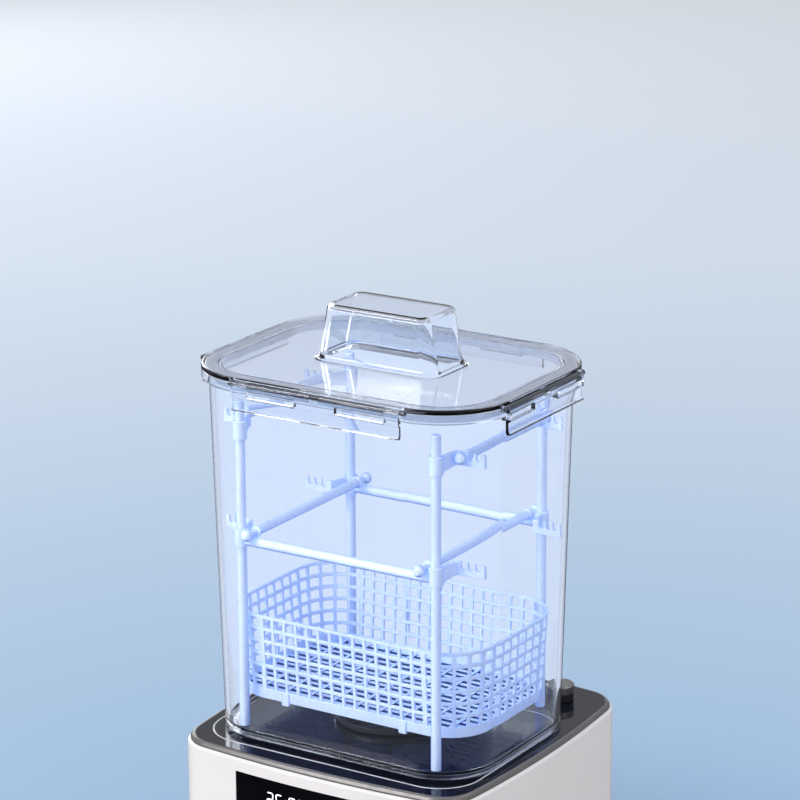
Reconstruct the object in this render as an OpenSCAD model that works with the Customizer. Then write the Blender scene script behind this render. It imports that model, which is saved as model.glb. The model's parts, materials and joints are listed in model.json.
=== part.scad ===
// Resin wash station: a clear lidded bucket with a hanging rack, a parts basket and a stirring impeller,
// standing on a motor base. Millimetres, +Z up, +X to the right, the display faces -Y.
// Origin: centre of the base's footprint, at the bottom of its feet.

/* [Base] */
// Width and depth of the base across the middles of its bowed sides
base_w = 192; // [188:1:196]
// Radius of the base's four upright corners
base_r = 22; // [18:1:26]
// Radius of the shallow bow of each side
side_r = 700; // [500:50:1200]
// Height of the deck above the table
deck_z = 112; // [108:1:120]
// Wall of the base shell
shell_wall = 2.6; // [2:0.2:3.2]

/* [Display and buttons] */
// Width of the dark display window
display_w = 97; // [80:1:104]
// Height of the dark display window
display_h = 34; // [28:1:38]
// Diameter of the push buttons
button_d = 11; // [9:0.5:13]
// Distance between the push buttons
button_pitch = 26; // [20:1:30]
// How far a button can be pressed
button_travel = 1.2; // [0.8:0.1:1.4]

/* [Knob] */
// Distance of the knob from the middle of the base, to the right
knob_x = 63; // [60:1:66]
// Distance of the knob from the middle of the base, to the rear
knob_y = 68; // [67:1:71]
// Diameter of the knob
knob_d = 15.8; // [14:0.2:17]
// Height of the knob above the deck
knob_h = 10; // [9:0.5:12]

/* [Bucket] */
// Distance of the bucket in front of the middle of the base
bucket_front = 10; // [8:0.5:12]
// Corner radius at the bottom of the bucket
bucket_r0 = 33.5; // [33:0.1:34]
// Corner radius at the rim of the bucket
bucket_r1 = 39.1; // [38.6:0.1:39.4]
// Wall of the bucket
bucket_wall = 2.5; // [2:0.1:2.6]
// Inside height of the bucket, from its floor to its rim
bucket_h = 201.5; // [200:0.5:202]

/* [Lid] */
// Width of the lid
lid_w = 189.3; // [189:0.1:190]
// Depth of the lid
lid_d = 147.1; // [147:0.1:147.6]
// Corner radius of the lid
lid_r = 42.9; // [42:0.1:43.5]
// Length of the front and rear latches
latch_long = 105; // [95:1:108]
// Length of the side latches
latch_short = 78; // [70:1:80]

/* [Rack] */
// Distance between the posts, left to right
post_dx = 124; // [123:0.5:126]
// Distance between the posts, front to back
post_dy = 109; // [108:0.5:110]
// Diameter of the posts and crossbars
post_d = 5.5; // [5:0.1:5.8]
// Length of the posts
post_h = 188; // [180:1:190]
// Height of the crossbars above the bucket's floor
crossbar_z = 108.5; // [106:0.5:110]
// Height of the upper brackets' plates above the bucket's floor
upper_z = 168.9; // [160:0.5:170]
// Height of the lower brackets' plates above the bucket's floor
lower_z = 107.8; // [106:0.5:108]

/* [Basket] */
// Height of the basket's floor above the bucket's floor
basket_z = 16; // [15:0.5:18]
// Height of the basket
basket_h = 49.5; // [44:0.5:52]
// Corner radius at the foot of the basket
basket_r0 = 25; // [24:0.5:26]
// Corner radius at the rim of the basket
basket_r1 = 28; // [27:0.5:28.5]

/* [Hidden] */

// Colours
pearl = [0.93, 0.93, 0.95];
dark = [0.16, 0.17, 0.2];
silver = [0.72, 0.72, 0.74];
clear = [0.78, 0.86, 0.98, 0.35];
ice = [0.78, 0.86, 1];
steel = [0.65, 0.66, 0.68];
circuit = [0.1, 0.35, 0.2];

eps = 0.01;
$fn = 64;

// Base levels
foot_h = 4;
bottom_t = 2.4;
shell_top = deck_z - 4.4;
trim_z = deck_z - 3.3;
deck_inset = 4;
flange_inset = 1.4;
screw_xy = 81.5;
display_top = deck_z - 10.4;
button_z = display_top - display_h - 16;
foot_xy = 66;

// Centres of the base's corner arcs, which touch the bowed sides smoothly
side_q = side_r - base_w / 2;
corner_c = (sqrt(2 * pow(side_r - base_r, 2) - side_q * side_q) - side_q) / 2;
touch_x = corner_c / (side_r - base_r);
touch_y = (corner_c + side_q) / (side_r - base_r);
corner_proud = 0.06;

// Seat line moulded in the deck
seat_w = 169;
seat_d = 123;
seat_r = 25;
seat_y = -20;
boss_r = 32;
boss_h = 1.2;
boss_gap = 0.5;

// Drive under the deck
motor_r = 21;
motor_h = 32;
bracket_z = 88;
bracket_t = 2;
motor_boss_x = 34;
motor_boss_y = 26;
shaft_r = 2.5;
carrier_r = 31;
carrier_h = 6;
carrier_z = shell_top - 4.6 - carrier_h;
magnet_ring_r = 21;
drive_magnet_r = 6;
drive_magnet_h = 4;

// Bucket, with its local zero at the top of its floor
bucket_y = -bucket_front;
floor_z = deck_z + 3.7;
bucket_gap = 0.2;
bucket_foot = 3.7 - bucket_gap;
floor_t = 1.8;
corner_x = 51.6;
corner_y = 30.5;
wall_slope = (bucket_r1 - bucket_r0) / (bucket_h + bucket_foot);
pin_r = 2;
fit = 0.05;
impeller_r = 32;

// Lid, measured from the bucket's floor
lid_top = 206;
plate_t = 3;
lid_skirt_z = 198;
gasket_z = 197.5;
skirt_wall = 2.2;
plug_x = 85.5;
plug_wall = 2;
gasket_t = 2.2;
hinge_z = lid_top - 2.7;
hinge_out = 0.75;
hinge_recess = 0.95;
barrel_r = 1.5;
hinge_pin_r = 0.8;
slot_z0 = -6.5;
slot_z1 = -2.9;
lug_z0 = 195.2;
lug_z1 = 197.6;
lug_gap = 0.4;
slot_end = 10;
slot_long = 30;
slot_short = 24;
knuckle_w = 5;
ear_w = 2.5;
handle_h = 31;

// Rack and rods
px = post_dx / 2;
py = post_dy / 2;
post_r = post_d / 2;
plate_x0 = 66.1;
plate_x1 = 83.2;
plate_y = 40;
plate_h = 7.6;
plate_w = 2;
sleeve_t = 1.3;
sleeve_h = 10.4;
sleeve_drop = 2.8;
notch_r = 1.5;
notch_x = 70.3;
notch_pitch = 4.5;
notch_depth = 2.8;
rod_r = 2.6;
neck_r = 1.2;
knob_r = 3.25;
low_neck_r = 1.8;
low_rod_x = 55;
upper_rod_z = upper_z + plate_h - notch_depth;
lower_rod_z = crossbar_z + post_r + low_neck_r + 0.3;

// Basket
basket_x = 52;
basket_y = 24;
basket_wall = 1.6;
mesh_pitch = 7.5;
mesh_hole = 5.3;
row_pitch = 6.95;
row_hole = 4.95;
mesh_rows = 6;
mesh_bottom = 7.9;

// ---------- shared shapes ----------

// Flat rounded rectangle about the origin
module rounded(w, d, r) {
  square([w - 2 * r, d], center = true);
  square([w, d - 2 * r], center = true);
  for (x = [-1, 1], y = [-1, 1]) translate([x * (w / 2 - r), y * (d / 2 - r)]) circle(r);
}

// Outline of the base: four bowed sides and corner arcs a hair proud of them, moved inwards by inset
module bowed(inset = 0) {
  r = side_r - inset;
  tx = r * touch_x;
  ty = r * touch_y - side_q;
  e = base_w;
  for (x = [-1, 1], y = [-1, 1])
    translate([x * corner_c, y * corner_c]) circle(base_r - inset + corner_proud);
  intersection() {
    polygon([[-tx, e], [tx, e], [tx, ty], [ty, tx], [e, tx], [e, -tx], [ty, -tx], [tx, -ty],
             [tx, -e], [-tx, -e], [-tx, -ty], [-ty, -tx], [-e, -tx], [-e, tx], [-ty, tx], [-tx, ty]]);
    intersection_for (a = [0, 90, 180, 270]) rotate(a) translate([0, -side_q]) circle(r, $fn = 720);
  }
}

// Upright slab of the base's outline
module slab(z0, z1, inset = 0) {
  translate([0, 0, z0]) linear_extrude(z1 - z0) bowed(inset);
}

// Block with rounded corners whose walls lean outwards: corner radius r0 at z0 and r1 at z1
module leaning(cx, cy, r0, r1, z0, z1) {
  h = z1 - z0;
  translate([0, 0, z0]) {
    for (x = [-cx, cx], y = [-cy, cy]) translate([x, y, 0]) cylinder(h = h, r1 = r0, r2 = r1);
    translate([-cx, 0, 0]) rotate([90, 0, 90]) linear_extrude(2 * cx)
      polygon([[-cy - r0, 0], [cy + r0, 0], [cy + r1, h], [-cy - r1, h]]);
    translate([0, cy, 0]) rotate([90, 0, 0]) linear_extrude(2 * cy)
      polygon([[-cx - r0, 0], [cx + r0, 0], [cx + r1, h], [-cx - r1, h]]);
  }
}

module in_bucket() {
  translate([0, bucket_y, floor_z]) children();
}

// Cylinder along Y from y0 to y1
module along_y(x, z, y0, y1, r) {
  translate([x, y1, z]) rotate([90, 0, 0]) cylinder(h = y1 - y0, r = r);
}

// Cylinder along X from x0 to x1
module along_x(y, z, x0, x1, r) {
  translate([x0, y, z]) rotate([0, 90, 0]) cylinder(h = x1 - x0, r = r);
}

// Flat-headed screw pointing up, its head at z = 0
module screw(r, h, head_r, head_h) {
  cylinder(h = h, r = r);
  cylinder(h = head_h, r = head_r);
}

// ---------- base ----------

module base_shell() {
  color(pearl) difference() {
    union() {
      difference() {
        slab(foot_h, shell_top);
        slab(foot_h - 1, shell_top + 1, shell_wall);
      }
      for (x = [-1, 1], y = [-1, 1]) translate([x * screw_xy, y * screw_xy, foot_h + bottom_t])
        cylinder(h = 26, r = 4);
    }
    for (x = [-1, 1], y = [-1, 1]) translate([x * screw_xy, y * screw_xy, 0]) cylinder(h = 24, r = 1.4);
    translate([-display_w / 2, -base_w, display_top - display_h])
      cube([display_w, base_w / 2 + 6, display_h]);
    for (i = [-1, 0, 1]) along_y(i * button_pitch, button_z, -base_w, -base_w / 2 + 6, button_d / 2 + 0.4);
    translate([-63, base_w / 2 - 6, 20]) cube([14, 12, 12]);
    for (i = [0 : 7]) translate([20 + i * 6, base_w / 2 - 6, 22]) cube([2.4, 12, 22]);
  }
}

module base_bottom() {
  color(dark) difference() {
    union() {
      slab(foot_h, foot_h + bottom_t, shell_wall + 0.4);
      slab(foot_h + bottom_t - 1, foot_h + bottom_t + 1, shell_wall + 16);
    }
    for (x = [-1, 1], y = [-1, 1]) translate([x * screw_xy, y * screw_xy, 0]) cylinder(h = 24, r = 1.8);
  }
}

module base_feet() {
  color(dark) for (x = [-1, 1], y = [-1, 1]) translate([x * foot_xy, y * foot_xy, 0]) {
    cylinder(h = foot_h, r = 8);
    cylinder(h = 1.2, r = 9);
  }
}

module bottom_screws() {
  color(steel) for (x = [-1, 1], y = [-1, 1]) translate([x * screw_xy, y * screw_xy, foot_h - 1.4])
    screw(1.35, 18, 2.8, 1.4);
}

module deck() {
  color(dark) difference() {
    union() {
      slab(shell_top, trim_z, flange_inset);
      slab(trim_z, deck_z, deck_inset);
      slab(shell_top - 6, shell_top, shell_wall + 0.3);
      translate([0, bucket_y, 0]) {
        translate([0, 0, deck_z]) cylinder(h = boss_h, r = boss_r);
        for (x = [-1, 1], y = [-1, 1]) translate([x * motor_boss_x, y * motor_boss_y, bracket_z + bracket_t])
          cylinder(h = shell_top - bracket_z - bracket_t, r = 3.5);
      }
    }
    difference() {
      slab(shell_top - 7, shell_top, shell_wall + 2.3);
      translate([0, bucket_y, 0]) for (x = [-1, 1], y = [-1, 1])
        translate([x * motor_boss_x, y * motor_boss_y, 0]) cylinder(h = deck_z, r = 3.5);
    }
    translate([0, seat_y, deck_z - 0.5]) linear_extrude(1) difference() {
      rounded(seat_w, seat_d, seat_r);
      rounded(seat_w - 1.6, seat_d - 1.6, seat_r - 0.8);
    }
    translate([knob_x, knob_y, shell_top - 8]) cylinder(h = 20, r = 3.6);
    translate([0, bucket_y, 0]) for (x = [-1, 1], y = [-1, 1])
      translate([x * motor_boss_x, y * motor_boss_y, bracket_z]) cylinder(h = 14, r = 1.3);
  }
}

module trim_ring() {
  color(silver) difference() {
    union() {
      slab(trim_z, trim_z + 1.7, 0.4);
      slab(trim_z + 1.7, trim_z + 2.7, 2);
    }
    slab(trim_z - 1, deck_z, deck_inset);
  }
}

module display_window() {
  color("black") intersection() {
    difference() {
      slab(foot_h, shell_top, 0.2);
      slab(foot_h - 1, shell_top + 1, 2.2);
    }
    translate([-display_w / 2, -base_w, display_top - display_h]) cube([display_w, base_w, display_h]);
  }
}

module display_board() {
  board_y = -base_w / 2 + 10;
  color(circuit) {
    translate([-44, board_y, button_z - 10]) cube([88, 1.6, display_top - button_z + 8]);
    for (i = [-1, 0, 1]) translate([i * button_pitch - 3, board_y - 2.6, button_z - 3]) cube([6, 2.6, 6]);
    translate([-40, board_y - 4.4, display_top - display_h + 4]) cube([80, 4.4, display_h - 8]);
  }
}

module control_board() {
  color(circuit) translate([-60, 20, foot_h + bottom_t + 1]) {
    translate([0, 0, 6]) cube([110, 50, 1.6]);
    for (x = [5, 105], y = [5, 45]) translate([x, y, 0]) cylinder(h = 6, r = 2.5);
    translate([14, 10, 7.6]) cube([14, 14, 2]);
    translate([70, 12, 7.6]) cube([18, 24, 3]);
    for (x = [40, 52]) translate([x, 30, 7.6]) cylinder(h = 12, r = 4);
  }
}

module motor() {
  color(steel) translate([0, bucket_y, bracket_z - motor_h]) difference() {
    union() {
      cylinder(h = motor_h, r = motor_r);
      cylinder(h = motor_h + bracket_t + 1.5, r = 8);
    }
    translate([0, 0, -1]) cylinder(h = motor_h + 8, r = shaft_r + fit);
  }
}

module motor_bracket() {
  color(silver) translate([0, bucket_y, bracket_z]) difference() {
    linear_extrude(bracket_t) rounded(2 * motor_boss_x + 14, 2 * motor_boss_y + 14, 6);
    translate([0, 0, -1]) cylinder(h = bracket_t + 2, r = 8.2);
    for (x = [-1, 1], y = [-1, 1]) translate([x * motor_boss_x, y * motor_boss_y, -1])
      cylinder(h = bracket_t + 2, r = 1.6);
  }
}

module motor_screws() {
  color(steel) translate([0, bucket_y, bracket_z - 2]) for (x = [-1, 1], y = [-1, 1])
    translate([x * motor_boss_x, y * motor_boss_y, 0]) screw(1.25, 14, 2.8, 2);
}

module power_inlet() {
  color(dark) translate([-62.8, base_w / 2 - 15.8, 20.2]) difference() {
    cube([13.6, 13, 11.6]);
    translate([6.8, 14, 5.8]) rotate([90, 0, 0]) cylinder(h = 10, r = 3);
  }
}

module knob_encoder() {
  color(steel) translate([knob_x, knob_y, 0]) difference() {
    union() {
      translate([-7, -7, shell_top - 9]) cube([14, 14, 7.5]);
      translate([0, 0, shell_top - 1.5]) cylinder(h = 1.5, r = 5);
    }
    translate([0, 0, shell_top - 7]) cylinder(h = 12, r = 2.05 + 1);
  }
}

// Push button: a cap through the wall with a retaining flange behind it
module button(i) {
  color(silver) {
    along_y(i * button_pitch, button_z, -base_w / 2, -base_w / 2 + 5.4, button_d / 2);
    along_y(i * button_pitch, button_z, -base_w / 2 + 4.2, -base_w / 2 + 5.4, button_d / 2 + 1.6);
  }
}

module button_power() { button(-1); }
module button_mode() { button(0); }
module button_start() { button(1); }

// ---------- knob ----------

module knob_cap() {
  color(silver) translate([knob_x, knob_y, deck_z]) difference() {
    translate([0, 0, knob_h / 2]) union() {
      cylinder(h = knob_h / 2 - 0.6, r = knob_d / 2);
      cylinder(h = knob_h / 2, r = knob_d / 2 - 0.6);
    }
    translate([knob_d / 2 - 2.6, 0, knob_h - 0.6]) cylinder(h = 2, r = 0.9);
    cylinder(h = knob_h - 1.5, r = 2);
  }
}

module knob_skirt() {
  color(dark) translate([knob_x, knob_y, deck_z + 0.4]) difference() {
    cylinder(h = knob_h / 2 - 0.4, r = knob_d / 2 - 0.3);
    translate([0, 0, -1]) cylinder(h = knob_h, r = 2);
  }
}

module knob_shaft() {
  color(steel) translate([knob_x, knob_y, shell_top - 6.5])
    cylinder(h = deck_z + knob_h - 1.5 - shell_top + 6.5, r = 2);
}

// ---------- drive ----------

module motor_shaft() {
  color(steel) translate([0, bucket_y, bracket_z - motor_h - 4])
    cylinder(h = carrier_z + carrier_h - bracket_z + motor_h + 4, r = shaft_r);
}

module magnet_carrier() {
  color(dark) translate([0, bucket_y, carrier_z]) difference() {
    union() {
      cylinder(h = carrier_h, r = carrier_r);
      translate([0, 0, -4]) cylinder(h = 5, r = 7);
    }
    translate([0, 0, -5]) cylinder(h = carrier_h + 6, r = shaft_r);
    for (a = [0 : 90 : 270]) rotate(a) translate([magnet_ring_r, 0, carrier_h - drive_magnet_h])
      cylinder(h = drive_magnet_h + 1, r = drive_magnet_r);
  }
}

module drive_magnets() {
  color(steel) translate([0, bucket_y, carrier_z + carrier_h - drive_magnet_h]) for (a = [0 : 90 : 270])
    rotate(a) translate([magnet_ring_r, 0, 0]) cylinder(h = drive_magnet_h, r = drive_magnet_r);
}

// ---------- bucket and impeller ----------

// The two lugs of one side, as boxes along X that point to -Y, from the wall out to reach
module lugs(reach, slot_len) {
  for (s = [-1, 1]) translate([s * (slot_end + 3 + slot_len / 2) - (slot_len - 4) / 2, -reach, lug_z0])
    cube([slot_len - 4, 5.6, lug_z1 - lug_z0]);
}

module bucket() {
  inner_r0 = bucket_r0 - bucket_wall + wall_slope * bucket_foot;
  reach_y = lid_d / 2 + hinge_out - 0.5 - lug_gap;
  reach_x = lid_w / 2 + hinge_out - 0.5 - lug_gap;
  color(clear) in_bucket() {
    difference() {
      union() {
        difference() {
          leaning(corner_x, corner_y, bucket_r0, bucket_r1, -bucket_foot, bucket_h);
          leaning(corner_x, corner_y, inner_r0, bucket_r1 - bucket_wall, 0, bucket_h + eps);
          translate([0, 0, -bucket_foot - 1]) linear_extrude(bucket_foot + 1 - floor_t)
            rounded(2 * corner_x + 2 * bucket_r0 - 12, 2 * corner_y + 2 * bucket_r0 - 12, bucket_r0 - 6);
        }
        translate([0, 0, -bucket_foot]) difference() {
          cylinder(h = bucket_foot - floor_t + eps, r = boss_r + boss_gap + 2.5);
          translate([0, 0, -1]) cylinder(h = bucket_foot + 2, r = boss_r + boss_gap);
        }
        for (a = [0, 180]) rotate(a) lugs(reach_y, slot_long);
        for (a = [90, 270]) rotate(a) lugs(reach_x, slot_short);
      }
      translate([0, 0, -1]) cylinder(h = 2, r = pin_r);
    }
  }
}

module impeller_pin() {
  color(steel) in_bucket() translate([0, 0, -1]) cylinder(h = 12.2, r = pin_r);
}

module impeller() {
  color(dark) in_bucket() difference() {
    union() {
      translate([0, 0, 0.8]) cylinder(h = 3.8, r = impeller_r);
      translate([0, 0, 0.8]) cylinder(h = 10.6, r = 8);
      for (a = [0 : 60 : 300]) rotate(a) translate([6, -1, 4]) cube([impeller_r - 8, 2, 6.4]);
    }
    translate([0, 0, -1]) cylinder(h = 14, r = pin_r + fit);
    for (a = [30 : 90 : 300]) rotate(a) translate([magnet_ring_r, 0, 0]) cylinder(h = 3.8, r = 5);
  }
}

module impeller_magnets() {
  color(steel) in_bucket() for (a = [30 : 90 : 300]) rotate(a) translate([magnet_ring_r, 0, 0.8])
    cylinder(h = 3, r = 5);
}

// ---------- rack ----------

// Runs its children in the corner sx, sy of the rack, mirrored so that they can be drawn for +X +Y
module in_corner(sx, sy) {
  in_bucket() mirror([sx < 0 ? 1 : 0, 0, 0]) mirror([0, sy < 0 ? 1 : 0, 0]) children();
}

module post(sx, sy) {
  color(ice) in_corner(sx, sy) translate([px, py, bucket_gap]) {
    cylinder(h = post_h, r = post_r);
    cylinder(h = 6, r = post_r + 0.4);
  }
}

module crossbar(sy) {
  color(ice) in_corner(1, sy) difference() {
    along_x(py, crossbar_z, -px, px, post_r);
    for (x = [-px, px]) translate([x, py, 0]) cylinder(h = post_h, r = post_r + sleeve_t);
  }
}

// Bracket: a sleeve on the post, an arm towards the middle and a notched plate pointing outwards
module bracket(sx, sy, z) {
  arm_x = plate_x0 - px;
  arm_y = py - plate_y;
  arm_len = sqrt(arm_x * arm_x + arm_y * arm_y);
  arm_start = post_r + sleeve_t / 2;
  color(ice) in_corner(sx, sy) difference() {
    union() {
      translate([px, py, z - sleeve_drop]) cylinder(h = sleeve_h, r = post_r + sleeve_t);
      translate([px, py, z]) rotate(-atan2(arm_y, arm_x)) translate([0, 1, 0]) rotate([90, 0, 0])
        linear_extrude(2) polygon([
          [arm_start, 0.4 - sleeve_drop], [arm_start, plate_h - 0.4],
          [arm_len, plate_h - 0.4], [arm_len, 0.4],
        ]);
      translate([plate_x0 - 1, plate_y - plate_w / 2, z]) cube([plate_x1 - plate_x0 + 1, plate_w, plate_h]);
    }
    translate([px, py, 0]) cylinder(h = post_h, r = post_r);
    for (i = [0 : 2]) {
      along_y(notch_x + i * notch_pitch, z + plate_h - notch_depth, plate_y - 2, plate_y + 2, notch_r);
      translate([notch_x + i * notch_pitch - notch_r, plate_y - 2, z + plate_h - notch_depth])
        cube([2 * notch_r, 4, plate_h]);
    }
  }
}

module post_front_left() { post(-1, -1); }
module post_front_right() { post(1, -1); }
module post_rear_left() { post(-1, 1); }
module post_rear_right() { post(1, 1); }
module crossbar_front() { crossbar(-1); }
module crossbar_rear() { crossbar(1); }
module bracket_upper_front_left() { bracket(-1, -1, upper_z); }
module bracket_upper_front_right() { bracket(1, -1, upper_z); }
module bracket_upper_rear_left() { bracket(-1, 1, upper_z); }
module bracket_upper_rear_right() { bracket(1, 1, upper_z); }
module bracket_lower_front_left() { bracket(-1, -1, lower_z); }
module bracket_lower_front_right() { bracket(1, -1, lower_z); }
module bracket_lower_rear_left() { bracket(-1, 1, lower_z); }
module bracket_lower_rear_right() { bracket(1, 1, lower_z); }

// Loose rod along Y: a bar whose ends narrow to a neck at neck_y, between a flange and a round knob
module rod(x, z, neck_y, neck_len, r_neck) {
  y0 = neck_y - neck_len / 2;
  y1 = neck_y + neck_len / 2;
  half = [[rod_r, 0], [rod_r, y0 - 1.6], [knob_r, y0 - 1.6], [knob_r, y0], [r_neck, y0], [r_neck, y1],
          [knob_r - 1, y1], [knob_r, y1 + 1.4], [knob_r, y1 + 3.4], [knob_r - 1.6, y1 + 5], [0, y1 + 5]];
  color(ice) in_bucket() translate([x, 0, z]) for (turn = [-90, 90]) rotate([turn, 0, 0])
    rotate_extrude() polygon(concat([[0, 0]], half));
}

module upper_rod(sx) { rod(sx * notch_x, upper_rod_z, plate_y, 3, neck_r); }
module lower_rod(sx) { rod(sx * low_rod_x, lower_rod_z, py, post_d + 0.8, low_neck_r); }
module rod_upper_left() { upper_rod(-1); }
module rod_upper_right() { upper_rod(1); }
module rod_lower_left() { lower_rod(-1); }
module rod_lower_right() { lower_rod(1); }

// ---------- basket ----------

// Row of mesh holes, centred, n columns wide, as square bars of the given length along Y
module mesh_bars(n, reach) {
  for (i = [0 : n - 1], k = [0 : mesh_rows - 1])
    translate([(i - (n - 1) / 2) * mesh_pitch - mesh_hole / 2, -reach, basket_z + mesh_bottom + k * row_pitch])
      cube([mesh_hole, 2 * reach, row_hole]);
}

module basket() {
  top = basket_z + basket_h;
  inner_r0 = basket_r0 - basket_wall;
  inner_r1 = basket_r1 - basket_wall;
  color(ice) in_bucket() {
    difference() {
      leaning(basket_x, basket_y, basket_r0, basket_r1, basket_z, top);
      leaning(basket_x, basket_y, inner_r0, inner_r1, basket_z + 2, top + eps);
      mesh_bars(14, 70);
      rotate(90) mesh_bars(6, 90);
      for (i = [-8 : 8]) translate([i * mesh_pitch - mesh_hole / 2, -35, basket_z - 1]) {
        cube([mesh_hole, 33, 4]);
        translate([0, 37, 0]) cube([mesh_hole, 33, 4]);
      }
    }
    for (x = [-38, 38], y = [-1, 1]) translate([x - 2.6, y * (basket_y + basket_r0) - 1, basket_z - 1.6])
      cube([5.2, 2, 7.6]);
  }
}

// ---------- lid and latches ----------

// Runs its children for one side of the lid, drawn for the front, with the hinge axis at y = 0, z = 0
module at_hinge(turn, half) {
  in_bucket() rotate(turn) translate([0, -half - hinge_out, hinge_z]) children();
}

// The lid's fixed hinge knuckles along one side: one in the middle and one at each end
module knuckles(len) {
  for (c = [[-knuckle_w / 2, knuckle_w / 2], [len / 2 + 0.4, len / 2 + 0.4 + ear_w],
            [-len / 2 - 0.4 - ear_w, -len / 2 - 0.4]]) {
    along_x(0, 0, c[0], c[1], barrel_r);
    translate([c[0], 0, -barrel_r]) cube([c[1] - c[0], hinge_out + hinge_recess + 0.4, 2 * barrel_r + 0.4]);
  }
}

module hinge_cut(len) {
  translate([-len / 2 - 4, -3, lid_skirt_z - hinge_z - 1])
    cube([len + 8, 3 + hinge_out + hinge_recess, lid_top - lid_skirt_z + 2]);
}

// Hollow grip: leans in to the top along its length
module grip(inset, z0, z1) {
  hull() {
    translate([0, 0, z0]) linear_extrude(0.1) rounded(76 - 2 * inset, 37 - 2 * inset, 8 - inset);
    translate([0, 0, z1 - 0.1]) linear_extrude(0.1) rounded(64 - 2 * inset, 35 - 2 * inset, 6 - inset);
  }
}

module lid() {
  plug_d = 2 * plug_x - lid_w + lid_d;
  color(clear) difference() {
    union() {
      difference() {
        in_bucket() {
          translate([0, 0, lid_skirt_z]) linear_extrude(lid_top - lid_skirt_z) rounded(lid_w, lid_d, lid_r);
          grip(0, lid_top - 1, lid_top + handle_h);
        }
        at_hinge(0, lid_d / 2) hinge_cut(latch_long);
        at_hinge(180, lid_d / 2) hinge_cut(latch_long);
        at_hinge(90, lid_w / 2) hinge_cut(latch_short);
        at_hinge(270, lid_w / 2) hinge_cut(latch_short);
      }
      at_hinge(0, lid_d / 2) knuckles(latch_long);
      at_hinge(180, lid_d / 2) knuckles(latch_long);
      at_hinge(90, lid_w / 2) knuckles(latch_short);
      at_hinge(270, lid_w / 2) knuckles(latch_short);
    }
    in_bucket() {
      translate([0, 0, lid_skirt_z - 1]) linear_extrude(lid_top - plate_t - lid_skirt_z + 1) difference() {
        rounded(lid_w - 2 * skirt_wall, lid_d - 2 * skirt_wall, lid_r - skirt_wall);
        rounded(2 * plug_x, plug_d, lid_r - lid_w / 2 + plug_x);
      }
      translate([0, 0, lid_skirt_z - 1]) linear_extrude(lid_top - plate_t - lid_skirt_z + 1)
        rounded(2 * (plug_x - plug_wall), plug_d - 2 * plug_wall, lid_r - lid_w / 2 + plug_x - plug_wall);
      grip(2, lid_top - plate_t - 1, lid_top + handle_h - 2);
    }
    for (turn = [0, 180]) at_hinge(turn, lid_d / 2)
      along_x(0, 0, -latch_long / 2 - 4, latch_long / 2 + 4, hinge_pin_r);
    for (turn = [90, 270]) at_hinge(turn, lid_w / 2)
      along_x(0, 0, -latch_short / 2 - 4, latch_short / 2 + 4, hinge_pin_r);
  }
}

module lid_gasket() {
  plug_d = 2 * plug_x - lid_w + lid_d;
  r = lid_r - lid_w / 2 + plug_x;
  color(dark) in_bucket() difference() {
    union() {
      translate([0, 0, gasket_z]) linear_extrude(lid_top - plate_t - gasket_z)
        rounded(2 * (plug_x + gasket_t), plug_d + 2 * gasket_t, r + gasket_t);
      translate([0, 0, bucket_h + 0.3]) linear_extrude(lid_top - plate_t - bucket_h - 0.3)
        rounded(lid_w - 2 * skirt_wall - 0.4, lid_d - 2 * skirt_wall - 0.4, lid_r - skirt_wall - 0.2);
    }
    translate([0, 0, gasket_z - 1]) linear_extrude(lid_top) rounded(2 * plug_x, plug_d, r);
  }
}

module latch_pins() {
  color(steel) {
    for (turn = [0, 180]) at_hinge(turn, lid_d / 2)
      along_x(0, 0, -latch_long / 2 - 0.4 - ear_w, latch_long / 2 + 0.4 + ear_w, hinge_pin_r);
    for (turn = [90, 270]) at_hinge(turn, lid_w / 2)
      along_x(0, 0, -latch_short / 2 - 0.4 - ear_w, latch_short / 2 + 0.4 + ear_w, hinge_pin_r);
  }
}

// Latch flap: a barrel on the pin, a thick band with two slots, and a thinner skirt with a flared lip
module latch(len, slot_len) {
  color(clear) difference() {
    translate([-len / 2, 0, 0]) {
      rotate([90, 0, 90]) linear_extrude(len) polygon([
        [-2.1, 0], [0.5, 0], [0.5, -13.2], [-0.2, -14.4],
        [-2.3, -14.4], [-1.1, -11.8], [-1.1, -7.6], [-2.1, -7.2],
      ]);
      along_x(0, 0, 0, len, barrel_r);
    }
    along_x(0, 0, -len, len, hinge_pin_r + fit);
    translate([-knuckle_w / 2 - 0.4, -4, -2.2]) cube([knuckle_w + 0.8, 8, 8]);
    for (s = [-1, 1]) translate([s * (slot_end + 3 + slot_len / 2) - slot_len / 2, -4, slot_z0])
      cube([slot_len, 8, slot_z1 - slot_z0]);
  }
}

module latch_front() { at_hinge(0, lid_d / 2) latch(latch_long, slot_long); }
module latch_rear() { at_hinge(180, lid_d / 2) latch(latch_long, slot_long); }
module latch_left() { at_hinge(270, lid_w / 2) latch(latch_short, slot_short); }
module latch_right() { at_hinge(90, lid_w / 2) latch(latch_short, slot_short); }

base_shell();
base_bottom();
base_feet();
bottom_screws();
deck();
trim_ring();
display_window();
display_board();
control_board();
motor();
motor_bracket();
motor_screws();
power_inlet();
knob_encoder();
button_power();
button_mode();
button_start();
knob_cap();
knob_skirt();
knob_shaft();
motor_shaft();
magnet_carrier();
drive_magnets();
bucket();
impeller_pin();
impeller();
impeller_magnets();
post_front_left();
post_front_right();
post_rear_left();
post_rear_right();
crossbar_front();
crossbar_rear();
bracket_upper_front_left();
bracket_upper_front_right();
bracket_upper_rear_left();
bracket_upper_rear_right();
bracket_lower_front_left();
bracket_lower_front_right();
bracket_lower_rear_left();
bracket_lower_rear_right();
rod_upper_left();
rod_upper_right();
rod_lower_left();
rod_lower_right();
basket();
lid();
lid_gasket();
latch_pins();
latch_front();
latch_rear();
latch_left();
latch_right();
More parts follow.
